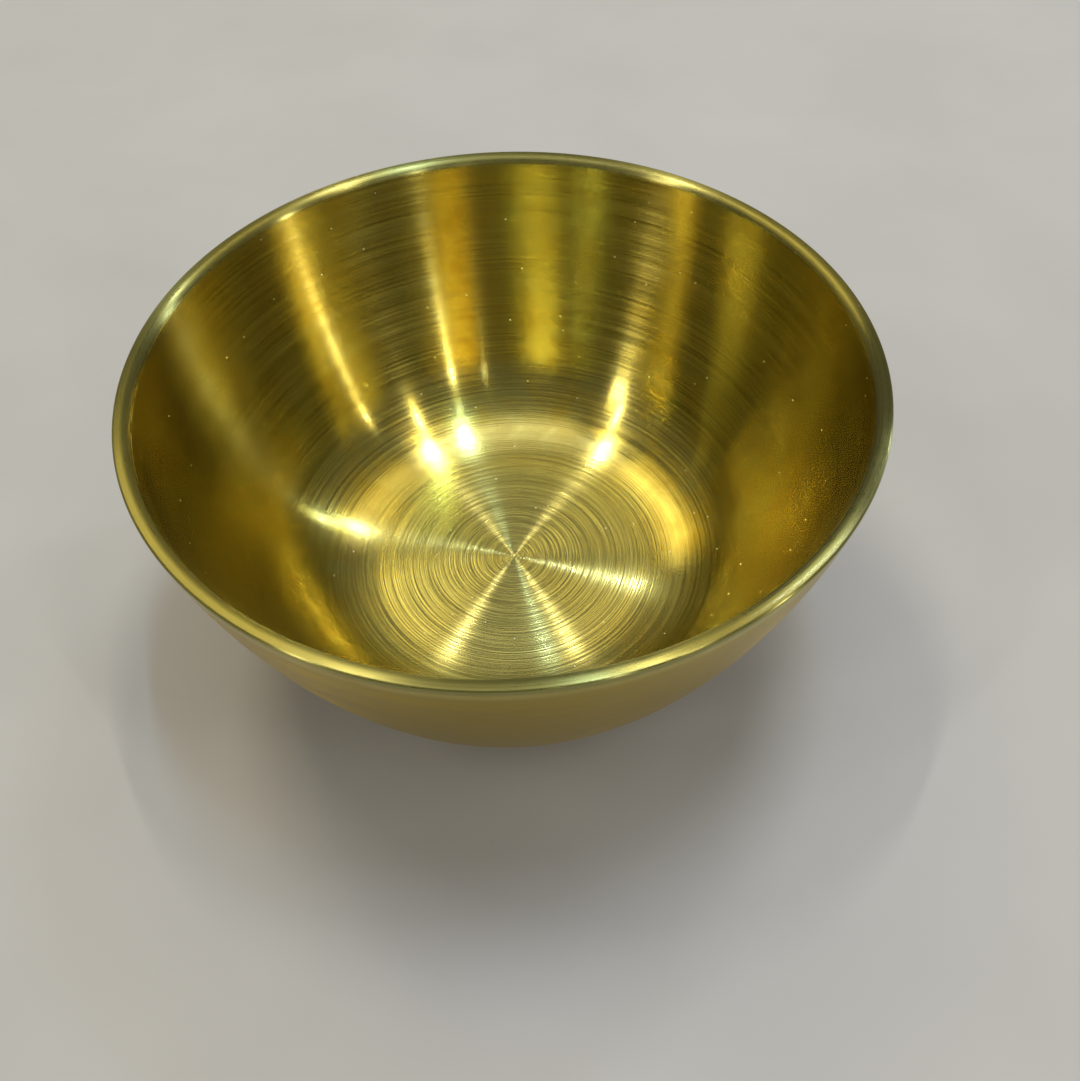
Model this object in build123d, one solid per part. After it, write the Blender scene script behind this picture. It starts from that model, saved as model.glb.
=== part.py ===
"""Offering bowl in brass: a flared bowl with a rounded rim, on a low brazed foot ring.

All lengths are in millimetres. +Z is up and the Z axis is the bowl's axis of revolution.
The foot ring rests on z = 0.
"""
import math
import os

from build123d import *

# Driving dimensions
RIM_DIAMETER = 80.0          # across the outside of the rim
INSIDE_DEPTH = 33.0          # top of the rim down to the floor inside
SHEET = 1.6                  # thickness of wall and base
RIM_ROUND = 1.1              # inner edge of the rim, well rounded
RIM_EDGE = 0.25              # outer edge of the rim, only just eased
RIM_FLARE_DEG = 10.0         # lean of the wall from the vertical where it meets the rim
WALL_RADIUS = 86.0           # gentle outward bow of the wall, outer face
CORNER_RADIUS = 16.6         # wide bend between wall and base, outer face

FOOT_HEIGHT = 2.0            # base of the bowl above the surface it stands on
FOOT_INSET = 0.9             # outside of the ring, in from the edge of the flat base
FOOT_WIDTH = 1.6             # radial thickness of the ring
FOOT_EDGE = 0.35             # eased edges where the ring rests
BRAZE_LEG = 0.7              # fillet of brazing brass along the inside of the ring

CURVE_ERROR = 0.025          # how far the straight steps of a curve may lie inside it

# Heights and the rim
base_z = FOOT_HEIGHT
floor_z = base_z + SHEET
rim_z = floor_z + INSIDE_DEPTH
lean = math.radians(RIM_FLARE_DEG)
edge_centre = (RIM_DIAMETER / 2 - RIM_EDGE, rim_z - RIM_EDGE)

# The wall's outer arc runs into the eased outer edge of the rim; its inner arc has the same centre.
wall_inner_radius = WALL_RADIUS - SHEET
wall_reach = WALL_RADIUS - RIM_EDGE
wall_centre = (edge_centre[0] - wall_reach * math.cos(lean), edge_centre[1] + wall_reach * math.sin(lean))

# The rounded inner edge touches the top of the rim and the wall's inner arc.
round_reach = wall_inner_radius + RIM_ROUND
round_z = rim_z - RIM_ROUND
round_angle = math.asin((round_z - wall_centre[1]) / round_reach)
round_centre = (wall_centre[0] + round_reach * math.cos(round_angle), round_z)

# The corner bend touches the base plane and the wall's arcs.
corner_inner_radius = CORNER_RADIUS - SHEET
corner_z = base_z + CORNER_RADIUS
bend_angle = math.asin((corner_z - wall_centre[1]) / (WALL_RADIUS - CORNER_RADIUS))
corner_centre = (wall_centre[0] + (WALL_RADIUS - CORNER_RADIUS) * math.cos(bend_angle), corner_z)

# The ring stands under the flat part of the base.
foot_outer_radius = corner_centre[0] - FOOT_INSET
foot_inner_radius = foot_outer_radius - FOOT_WIDTH


def curve(centre, radius, start, end):
    """Points along an arc, in as few equal steps as keep within CURVE_ERROR of it."""
    widest_step = 2 * math.acos(1 - CURVE_ERROR / radius)
    steps = math.ceil(abs(end - start) / widest_step)
    angles = [start + (end - start) * step / steps for step in range(steps + 1)]
    return [(centre[0] + radius * math.cos(a), centre[1] + radius * math.sin(a)) for a in angles]


def revolved(profile):
    """Solid of revolution about Z from a closed profile drawn in the XZ plane."""
    with BuildPart() as piece:
        with BuildSketch(Plane.XZ):
            with BuildLine():
                profile()
            make_face()
        revolve(axis=Axis.Z)
    return piece.part


def bowl_profile():
    """Up the outside from the base, over the rim and down the inside to the floor."""
    down = -math.pi / 2
    up = math.pi / 2
    Polyline(
        (0, base_z),
        *curve(corner_centre, CORNER_RADIUS, down, bend_angle),
        *curve(wall_centre, WALL_RADIUS, bend_angle, -lean)[1:-1],
        *curve(edge_centre, RIM_EDGE, -lean, up),
        *curve(round_centre, RIM_ROUND, up, math.pi + round_angle),
        *curve(wall_centre, wall_inner_radius, round_angle, bend_angle)[1:-1],
        *curve(corner_centre, corner_inner_radius, bend_angle, down),
        (0, floor_z),
        close=True,
    )


def foot_ring_profile():
    Polyline(
        (foot_inner_radius, FOOT_HEIGHT),
        (foot_inner_radius, FOOT_EDGE),
        (foot_inner_radius + FOOT_EDGE, 0),
        (foot_outer_radius - FOOT_EDGE, 0),
        (foot_outer_radius, FOOT_EDGE),
        (foot_outer_radius, FOOT_HEIGHT),
        close=True,
    )


def braze_profile():
    """Small fillet in the angle between the base and the inside of the ring."""
    Polyline(
        (foot_inner_radius - BRAZE_LEG, FOOT_HEIGHT),
        (foot_inner_radius, FOOT_HEIGHT),
        (foot_inner_radius, FOOT_HEIGHT - BRAZE_LEG),
        close=True,
    )


nodes = {
    "bowl": revolved(bowl_profile),
    "foot_ring": revolved(foot_ring_profile),
    "braze_seam": revolved(braze_profile),
}

os.makedirs("parts", exist_ok=True)
for name, solid in nodes.items():
    export_step(solid, f"parts/{name}.step")
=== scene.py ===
import math

import bpy
from mathutils import Matrix, Vector


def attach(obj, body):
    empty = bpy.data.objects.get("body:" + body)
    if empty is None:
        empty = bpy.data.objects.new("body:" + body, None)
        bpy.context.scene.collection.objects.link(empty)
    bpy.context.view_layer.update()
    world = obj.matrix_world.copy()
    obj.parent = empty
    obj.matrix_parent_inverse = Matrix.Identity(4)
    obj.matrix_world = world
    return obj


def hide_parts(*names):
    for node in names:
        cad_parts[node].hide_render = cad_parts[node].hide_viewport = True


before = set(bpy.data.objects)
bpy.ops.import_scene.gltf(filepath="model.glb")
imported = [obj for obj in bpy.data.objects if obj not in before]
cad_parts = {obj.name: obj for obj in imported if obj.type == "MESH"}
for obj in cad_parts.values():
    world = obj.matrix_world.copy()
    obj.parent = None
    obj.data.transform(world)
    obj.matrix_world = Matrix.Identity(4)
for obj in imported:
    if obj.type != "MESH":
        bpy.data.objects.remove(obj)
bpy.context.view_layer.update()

MM = 0.001

# Sizes of the bowl in millimetres, the same as those of the solids
RIM_RADIUS = 40.0
INSIDE_DEPTH = 33.0
SHEET = 1.6
RIM_ROUND = 1.1
RIM_EDGE = 0.25
RIM_FLARE_DEG = 10.0
WALL_RADIUS = 86.0
CORNER_RADIUS = 16.6
FOOT_HEIGHT = 2.0
FOOT_INSET = 0.9
FOOT_WIDTH = 1.6
FOOT_EDGE = 0.35
BRAZE_LEG = 0.7

# Heights, and centres of the profile's arcs as (radius, height)
FLOOR_Z = FOOT_HEIGHT + SHEET
RIM_Z = FLOOR_Z + INSIDE_DEPTH
LEAN = math.radians(RIM_FLARE_DEG)
WALL_INSIDE = WALL_RADIUS - SHEET
EDGE = (RIM_RADIUS - RIM_EDGE, RIM_Z - RIM_EDGE)
WALL_REACH = WALL_RADIUS - RIM_EDGE
WALL = (EDGE[0] - WALL_REACH * math.cos(LEAN), EDGE[1] + WALL_REACH * math.sin(LEAN))
ROUND_REACH = WALL_INSIDE + RIM_ROUND
ROUND_ANGLE = math.asin((RIM_Z - RIM_ROUND - WALL[1]) / ROUND_REACH)
ROUND = (WALL[0] + ROUND_REACH * math.cos(ROUND_ANGLE), RIM_Z - RIM_ROUND)
BEND_REACH = WALL_RADIUS - CORNER_RADIUS
BEND = math.asin((FOOT_HEIGHT + CORNER_RADIUS - WALL[1]) / BEND_REACH)
CORNER = (WALL[0] + BEND_REACH * math.cos(BEND), FOOT_HEIGHT + CORNER_RADIUS)
FOOT_OUTER_RADIUS = CORNER[0] - FOOT_INSET
FOOT_INNER_RADIUS = FOOT_OUTER_RADIUS - FOOT_WIDTH

# Length of the profile from the centre of the floor to the outer edge of the rim
OUTSIDE_RUN = CORNER[0] + (CORNER_RADIUS - SHEET) * (BEND + math.pi / 2)
OUTSIDE_RUN += WALL_INSIDE * (ROUND_ANGLE - BEND) + RIM_ROUND * (math.pi / 2 + ROUND_ANGLE)
OUTSIDE_RUN += EDGE[0] - ROUND[0] + RIM_EDGE * (math.pi / 2 + LEAN)

# Fineness of the meshes: steps round the axis and along each part of the bowl's profile
SEGMENTS = 288
FLOOR_STEPS = 44
CORNER_STEPS = 24
WALL_STEPS = 64
ROUND_STEPS = 14
TOP_STEPS = 2
EDGE_STEPS = 8

# Brushed finish. Stretches are distances along the profile from the centre of the floor, in millimetres.
FLOOR_COLOUR = (0.69, 0.67, 0.25)
# The rim's darker colour is painted shade, a dark reflection painted into the brass
RIM_PAINTED_SHADE_COLOUR = (0.39, 0.36, 0.1)
SPECK_COLOUR = (0.75, 0.72, 0.5)
HAZE_STRETCH = (15.0, 24.0)
HAZE_TINT = 2.5
LINES_STRETCH = (16.0, 26.0)
LINES_SPAN = (0.5, 1.0)
RINGS_IN_LINES = 0.5
WALL_LINE_SHARE = 0.06
FLOOR_DARKEST_LINE = 0.7
WALL_DARKEST_LINE = 0.82
TARNISH_SPAN = (0.45, 1.1)
SMEAR_IN_TARNISH = 0.5
# Share of the deep colour on the outside: a painted dark reflection
OUTSIDE_PAINTED_DARK_REFLECTION = 0.95
OUTSIDE_COAT_SHARE = 0.3
OUTSIDE_STRETCH = (OUTSIDE_RUN, OUTSIDE_RUN + 2.0)
RIM_HEIGHTS = (RIM_Z - 1.0, RIM_Z - 0.5)
RIM_DULLING = 0.06
RIM_ROUGHENING = 0.1
GLOSS_SPAN = (0.4, 1.0)
SMEAR_IN_GLOSS = 0.4
ROUGHNESS_SPREAD = 0.06
SPECK_SCALE = 0.55
SPECK_EDGE = (0.03, 0.055)
SPECK_SHARE = 0.5
SPECK_ROUGHENING = 0.35
COAT_ROUGHNESS = 0.13
QUARTER_TURN = 0.25
SMALLEST_RADIUS = 0.01


def steps(start, end, count):
    """Even steps from start to end, without the end."""
    return [start + (end - start) * i / count for i in range(count)]


def arc_points(centre, radius, start, end, count):
    return [
        (centre[0] + radius * math.cos(angle), centre[1] + radius * math.sin(angle))
        for angle in steps(start, end, count)
    ]


def line_points(start, end, count):
    return list(zip(steps(start[0], end[0], count), steps(start[1], end[1], count)))


def bowl_profile():
    """From the centre of the floor up the inside, over the rim and down the outside to the base."""
    down = -math.pi / 2
    up = math.pi / 2
    points = line_points((0, FLOOR_Z), (CORNER[0], FLOOR_Z), FLOOR_STEPS)
    points += arc_points(CORNER, CORNER_RADIUS - SHEET, down, BEND, CORNER_STEPS)
    points += arc_points(WALL, WALL_INSIDE, BEND, ROUND_ANGLE, WALL_STEPS)
    points += arc_points(ROUND, RIM_ROUND, math.pi + ROUND_ANGLE, up, ROUND_STEPS)
    points += line_points((ROUND[0], RIM_Z), (EDGE[0], RIM_Z), TOP_STEPS)
    points += arc_points(EDGE, RIM_EDGE, up, -LEAN, EDGE_STEPS)
    points += arc_points(WALL, WALL_RADIUS, -LEAN, BEND, WALL_STEPS)
    points += arc_points(CORNER, CORNER_RADIUS, BEND, down, CORNER_STEPS)
    points += line_points((CORNER[0], FOOT_HEIGHT), (0, FOOT_HEIGHT), FLOOR_STEPS)
    points.append((0, FOOT_HEIGHT))
    return points


def foot_profile():
    corners = [
        (FOOT_INNER_RADIUS, FOOT_HEIGHT),
        (FOOT_INNER_RADIUS, FOOT_EDGE),
        (FOOT_INNER_RADIUS + FOOT_EDGE, 0),
        (FOOT_OUTER_RADIUS - FOOT_EDGE, 0),
        (FOOT_OUTER_RADIUS, FOOT_EDGE),
        (FOOT_OUTER_RADIUS, FOOT_HEIGHT),
    ]
    points = []
    for start, end in zip(corners, corners[1:] + corners[:1]):
        points += line_points(start, end, 4)
    return points


def braze_profile():
    """Fillet in the angle between base and ring, a little hollow as the metal flowed."""
    top = (FOOT_INNER_RADIUS - BRAZE_LEG, FOOT_HEIGHT)
    angle_point = (FOOT_INNER_RADIUS, FOOT_HEIGHT)
    bottom = (FOOT_INNER_RADIUS, FOOT_HEIGHT - BRAZE_LEG)
    hollow = (FOOT_INNER_RADIUS - BRAZE_LEG, FOOT_HEIGHT - BRAZE_LEG)
    points = line_points(top, angle_point, 3)
    points += line_points(angle_point, bottom, 3)
    points += arc_points(hollow, BRAZE_LEG, 0, math.pi / 2, 6)
    return points


def lathe(name, profile, closed, sharp_deg):
    """Mesh of a profile turned about Z. The attribute run keeps each point's distance along the profile."""
    verts = []
    runs = []
    rings = []
    run = 0.0
    previous = profile[0]
    for radius, height in profile:
        run += math.dist(previous, (radius, height))
        previous = (radius, height)
        count = 1 if radius < 1e-6 else SEGMENTS
        rings.append((len(verts), count))
        for i in range(count):
            turn = 2 * math.pi * i / SEGMENTS
            verts.append((radius * math.cos(turn) * MM, radius * math.sin(turn) * MM, height * MM))
            runs.append(run)
    faces = []
    pairs = list(zip(rings, rings[1:]))
    if closed:
        pairs.append((rings[-1], rings[0]))
    for (low, low_count), (high, high_count) in pairs:
        for i in range(SEGMENTS):
            j = (i + 1) % SEGMENTS
            face = [low + i % low_count, low + j % low_count, high + j % high_count, high + i % high_count]
            faces.append(list(dict.fromkeys(face)))
    mesh = bpy.data.meshes.new(name)
    mesh.from_pydata(verts, [], faces)
    mesh.attributes.new("run", "FLOAT", "POINT").data.foreach_set("value", runs)
    mesh.validate()
    mesh.shade_smooth()
    if sharp_deg:
        mesh.set_sharp_from_angle(angle=math.radians(sharp_deg))
    piece = bpy.data.objects.new(name, mesh)
    bpy.context.scene.collection.objects.link(piece)
    return piece


class Graph:
    """A material's node tree, built by calls that take sockets or plain values."""

    def __init__(self, name):
        self.material = bpy.data.materials.new(name)
        self.material.use_nodes = True
        self.tree = self.material.node_tree
        self.tree.nodes.clear()

    def node(self, kind, inputs, **settings):
        made = self.tree.nodes.new("ShaderNode" + kind)
        for key, value in settings.items():
            setattr(made, key, value)
        for key, value in inputs.items():
            if isinstance(value, bpy.types.NodeSocket):
                self.tree.links.new(value, made.inputs[key])
            else:
                made.inputs[key].default_value = value
        return made

    def math(self, operation, *values):
        return self.node("Math", dict(enumerate(values)), operation=operation).outputs[0]

    def remap(self, value, low, high, to_low, to_high):
        inputs = {"Value": value, 1: low, 2: high, 3: to_low, 4: to_high}
        return self.node("MapRange", inputs, clamp=True).outputs[0]

    def vector(self, x, y, z):
        return self.node("CombineXYZ", {0: x, 1: y, 2: z}).outputs[0]

    def noise(self, vector, scale, detail, roughness, distortion=0.0):
        inputs = {
            "Vector": vector,
            "Scale": scale,
            "Detail": detail,
            "Roughness": roughness,
            "Distortion": distortion,
        }
        return self.node("TexNoise", inputs).outputs["Fac"]

    def mix(self, share, first, second, blend="MIX"):
        made = self.node("Mix", {0: share, 6: first, 7: second}, data_type="RGBA", blend_type=blend)
        return made.outputs[2]


def brass(name, pale, deep, roughness, line_height, ring_height, coat, haze):
    """Brass brushed round the Z axis: fine lines, coarser turning rings, dust specks and thin tarnished
    patches, with painted shade on the rim and a painted dark reflection on the outside.
    """
    g = Graph(name)
    place = g.node("TexCoord", {}).outputs["Object"]
    split = g.node("SeparateXYZ", {0: place})
    x, y, z = [g.math("MULTIPLY", output, 1 / MM) for output in split.outputs]
    squares = g.math("ADD", g.math("MULTIPLY", x, x), g.math("MULTIPLY", y, y))
    radius = g.math("MAXIMUM", g.math("SQRT", squares), SMALLEST_RADIUS)
    cosine = g.math("DIVIDE", x, radius)
    sine = g.math("DIVIDE", y, radius)
    run = g.node("Attribute", {}, attribute_name="run").outputs["Fac"]
    flat = g.vector(x, y, z)

    def turned(around, along, shift):
        """Coordinates that change slowly round the axis and fast along the profile."""
        return g.vector(
            g.math("MULTIPLY_ADD", cosine, around, shift),
            g.math("MULTIPLY_ADD", sine, around, shift),
            g.math("MULTIPLY", run, along),
        )

    fine = g.noise(turned(around=1.0, along=6.0, shift=0.0), scale=1.0, detail=0.0, roughness=0.5)
    hair = g.noise(turned(around=1.0, along=3.8, shift=120.0), scale=1.0, detail=1.0, roughness=0.6)
    rings = g.noise(turned(around=0.35, along=1.1, shift=40.0), scale=1.0, detail=1.0, roughness=0.5)
    bands = g.noise(turned(around=0.6, along=0.35, shift=80.0), scale=1.0, detail=2.0, roughness=0.5)
    cloud = g.noise(flat, scale=0.09, detail=4.0, roughness=0.6)
    smear = g.noise(flat, scale=0.35, detail=3.0, roughness=0.55, distortion=0.6)

    # Relief of the lines and rings
    fine_height = g.remap(run, *LINES_STRETCH, line_height, line_height * WALL_LINE_SHARE)
    height = g.math("MULTIPLY", fine, fine_height)
    height = g.math("MULTIPLY_ADD", rings, ring_height, height)
    height = g.math("MULTIPLY_ADD", bands, ring_height * 2.0, height)
    bump = g.node("Bump", {"Strength": 1.0, "Distance": MM, "Height": height})

    # Colour: tarnished patches and a painted dark reflection on the outside, the pale floor, painted shade
    # on the rim, darker lines and specks of dust
    rim = g.remap(z, *RIM_HEIGHTS, 0.0, 1.0)
    outside = g.remap(run, *OUTSIDE_STRETCH, 0.0, 1.0)
    stains = g.math("MULTIPLY_ADD", smear, SMEAR_IN_TARNISH, cloud)
    tarnish_and_painted_reflection = g.remap(stains, *TARNISH_SPAN, 0.0, 1.0)
    # The outside is given the deep colour over the stains: a painted dark reflection
    tarnish_and_painted_reflection = g.math("MAXIMUM", tarnish_and_painted_reflection, g.math("MULTIPLY", outside, OUTSIDE_PAINTED_DARK_REFLECTION))
    colour = g.mix(tarnish_and_painted_reflection, (*pale, 1.0), (*deep, 1.0))
    colour = g.mix(g.remap(run, *HAZE_STRETCH, haze * HAZE_TINT, 0.0), colour, (*FLOOR_COLOUR, 1.0))
    # Painted shade: the top of the rim is given a darker colour
    colour = g.mix(rim, colour, (*RIM_PAINTED_SHADE_COLOUR, 1.0))
    darkest = g.remap(run, *LINES_STRETCH, FLOOR_DARKEST_LINE, WALL_DARKEST_LINE)
    lines = g.math("MULTIPLY_ADD", rings, RINGS_IN_LINES, hair)
    shade = g.remap(lines, *LINES_SPAN, darkest, 1.0)
    colour = g.mix(1.0, colour, shade, "MULTIPLY")
    dust = g.node("TexVoronoi", {"Vector": flat, "Scale": SPECK_SCALE})
    pick = g.node("SeparateColor", {0: dust.outputs["Color"]}).outputs[0]
    speck = g.remap(dust.outputs["Distance"], *SPECK_EDGE, 1.0, 0.0)
    speck = g.math("MULTIPLY", speck, g.math("GREATER_THAN", pick, SPECK_SHARE))
    colour = g.mix(speck, colour, (*SPECK_COLOUR, 1.0))

    # Gloss: lines, smears, specks and the duller rim
    gloss = g.math("MULTIPLY_ADD", smear, SMEAR_IN_GLOSS, hair)
    rough = g.remap(gloss, *GLOSS_SPAN, roughness - ROUGHNESS_SPREAD, roughness + ROUGHNESS_SPREAD)
    rough = g.math("MULTIPLY_ADD", speck, SPECK_ROUGHENING, rough)
    rough = g.math("MULTIPLY_ADD", rim, RIM_ROUGHENING, rough)
    film = g.remap(run, *HAZE_STRETCH, 1.0 - haze, 1.0)
    film = g.math("MULTIPLY_ADD", rim, -RIM_DULLING, film)
    tangent = g.node("Tangent", {}, direction_type="RADIAL", axis="Z").outputs[0]
    shader = g.node(
        "BsdfPrincipled",
        {
            "Base Color": colour,
            "Metallic": film,
            "Roughness": rough,
            "Anisotropic": 1.0,
            "Anisotropic Rotation": QUARTER_TURN,
            "Tangent": tangent,
            "Normal": bump.outputs[0],
            "Coat Weight": g.remap(outside, 0.0, 1.0, coat, coat * OUTSIDE_COAT_SHARE),
            "Coat Roughness": COAT_ROUGHNESS,
        },
    )
    g.node("OutputMaterial", {"Surface": shader.outputs[0]})
    return g.material


def pale_floor():
    g = Graph("floor_pale")
    place = g.node("TexCoord", {}).outputs["Object"]
    mottle = g.noise(place, scale=30.0, detail=3.0, roughness=0.5)
    shade = g.remap(mottle, 0.3, 0.7, 0.0, 1.0)
    colour = g.mix(shade, (0.58, 0.575, 0.56, 1.0), (0.62, 0.615, 0.60, 1.0))
    shader = g.node("BsdfPrincipled", {"Base Color": colour, "Roughness": 0.8, "Specular IOR Level": 0.2})
    g.node("OutputMaterial", {"Surface": shader.outputs[0]})
    return g.material


bowl = lathe("spun_bowl", bowl_profile(), closed=False, sharp_deg=0)
foot = lathe("turned_foot_ring", foot_profile(), closed=True, sharp_deg=30)
braze = lathe("brazed_seam", braze_profile(), closed=True, sharp_deg=50)

bowl.data.materials.append(
    brass(
        "brass_bowl",
        pale=(0.73, 0.67, 0.19),
        deep=(0.55, 0.39, 0.035),
        roughness=0.2,
        line_height=0.032,
        ring_height=0.01,
        coat=0.2,
        haze=0.24,
    )
)
foot.data.materials.append(
    brass(
        "brass_foot",
        pale=(0.68, 0.56, 0.14),
        deep=(0.56, 0.42, 0.06),
        roughness=0.3,
        line_height=0.02,
        ring_height=0.01,
        coat=0.2,
        haze=0.0,
    )
)
braze.data.materials.append(
    brass(
        "brass_braze",
        pale=(0.72, 0.57, 0.22),
        deep=(0.45, 0.31, 0.12),
        roughness=0.5,
        line_height=0.004,
        ring_height=0.006,
        coat=0.0,
        haze=0.0,
    )
)

for piece, node, slot in (
    (bowl, "bowl", "bowl_brass"),
    (foot, "foot_ring", "foot_brass"),
    (braze, "braze_seam", "braze_brass"),
):
    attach(piece, "root")
    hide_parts(node)

# Floor
FLOOR_HALF = 1.5
floor_mesh = bpy.data.meshes.new("floor")
floor_signs = ((-1, -1), (1, -1), (1, 1), (-1, 1))
floor_mesh.from_pydata([(a * FLOOR_HALF, b * FLOOR_HALF, 0.0) for a, b in floor_signs], [], [(0, 1, 2, 3)])
floor_mesh.materials.append(pale_floor())
floor = bpy.data.objects.new("floor", floor_mesh)
bpy.context.scene.collection.objects.link(floor)

# Camera at the photograph's viewing angle
FOCAL_PIXELS = 1083.0
LONG_SIDE_PIXELS = 1081.0
CAMERA_PLACE = (0.0, -0.0860341, 0.1128933)
CAMERA_TURN_DEG = (38.96053, 1.09349, -3.59323)
camera_data = bpy.data.cameras.new("camera")
camera_data.sensor_width = 36.0
camera_data.lens = camera_data.sensor_width * FOCAL_PIXELS / LONG_SIDE_PIXELS
camera_data.clip_start = 0.005
camera = bpy.data.objects.new("camera", camera_data)
camera.location = CAMERA_PLACE
camera.rotation_euler = tuple(math.radians(a) for a in CAMERA_TURN_DEG)
bpy.context.scene.collection.objects.link(camera)
bpy.context.scene.camera = camera

# Soft boxes, each a rectangle that faces the bowl. VIEW_ACROSS is how far the view leans from the vertical,
# as the horizontal part of a direction of length 1.
AIM = Vector((0.0, 0.0, 0.02))
VIEW_ACROSS = 0.618
FAN_DISTANCE = 0.9
TOP_DISTANCE = 1.2


def soft_box(name, low, high, width, radiance, colour, distance):
    """Strip from one direction to another, given by their horizontal parts."""
    ends = []
    for across in (low, high):
        up = math.sqrt(max(0.0, 1.0 - across[0] ** 2 - across[1] ** 2))
        ends.append(AIM + distance * Vector((across[0], across[1], up)))
    centre = (ends[0] + ends[1]) / 2
    back = (centre - AIM).normalized()
    along = ends[1] - ends[0]
    length = along.length
    along = (along - along.dot(back) * back).normalized()
    side = back.cross(along)
    data = bpy.data.lights.new(name, "AREA")
    data.shape = "RECTANGLE"
    data.size = length
    data.size_y = width
    data.energy = radiance * math.pi * length * width
    data.color = colour
    lamp = bpy.data.objects.new(name, data)
    turn = Matrix((along, side, back)).transposed().to_4x4()
    lamp.matrix_world = Matrix.Translation(centre) @ turn
    bpy.context.scene.collection.objects.link(lamp)


def fan_box(name, azimuth_deg, near, far, width, radiance, colour):
    """Strip whose streak on the floor lies along an azimuth, counted from the far side to the right."""
    turn = math.radians(azimuth_deg)
    ends = [(-k * math.sin(turn), VIEW_ACROSS - k * math.cos(turn)) for k in (near, far)]
    soft_box(name, ends[0], ends[1], width, radiance, colour, FAN_DISTANCE)


WHITE = (1.0, 1.0, 1.0)
WARM = (1.0, 0.93, 0.82)
COOL = (0.82, 0.97, 1.25)
MINT = (0.7, 1.0, 1.45)
SOFT = (1.0, 0.96, 0.9)
GOLD = (1.0, 0.82, 0.38)

# Name, azimuth in degrees, near and far end, width in metres, radiance and colour
FAN = (
    ("strip_a", -14.0, 0.35, 0.7, 0.02, 34.0, MINT),
    ("spot_a", -14.0, 1.02, 1.06, 0.02, 22.0, MINT),
    ("strip_b", -27.0, 0.9, 1.18, 0.01, 50.0, WARM),
    ("strip_c", 35.0, 0.9, 1.18, 0.01, 50.0, WARM),
    ("strip_d", -74.0, 0.6, 1.0, 0.01, 28.0, COOL),
    ("strip_e", -41.0, 1.26, 1.36, 0.01, 100.0, WARM),
    ("strip_f", -14.0, 1.45, 1.52, 0.01, 77.0, WHITE),
    ("strip_g", -5.0, 1.45, 1.5, 0.012, 14.0, WHITE),
    ("strip_h", 33.0, 1.24, 1.36, 0.08, 12.0, WARM),
    ("floor_b", -27.0, 0.3, 0.6, 0.012, 90.0, WARM),
    ("floor_c", 34.5, 0.3, 0.6, 0.012, 90.0, WARM),
    ("floor_d", -72.5, 0.26, 0.42, 0.01, 90.0, COOL),
    ("panel_left", 70.0, 0.2, 0.44, 0.36, 4.0, GOLD),
    ("panel_right", -56.0, 0.2, 0.44, 0.26, 2.4, GOLD),
)
for lamp_values in FAN:
    fan_box(*lamp_values)
soft_box("top_box", (-0.25, 0.1), (0.25, 0.1), 0.4, 2.0, SOFT, TOP_DISTANCE)

world = bpy.data.worlds.new("studio")
world.use_nodes = True
world.node_tree.nodes["Background"].inputs["Color"].default_value = (0.1, 0.1, 0.1, 1.0)
bpy.context.scene.world = world
bpy.context.scene.view_settings.view_transform = "Standard"
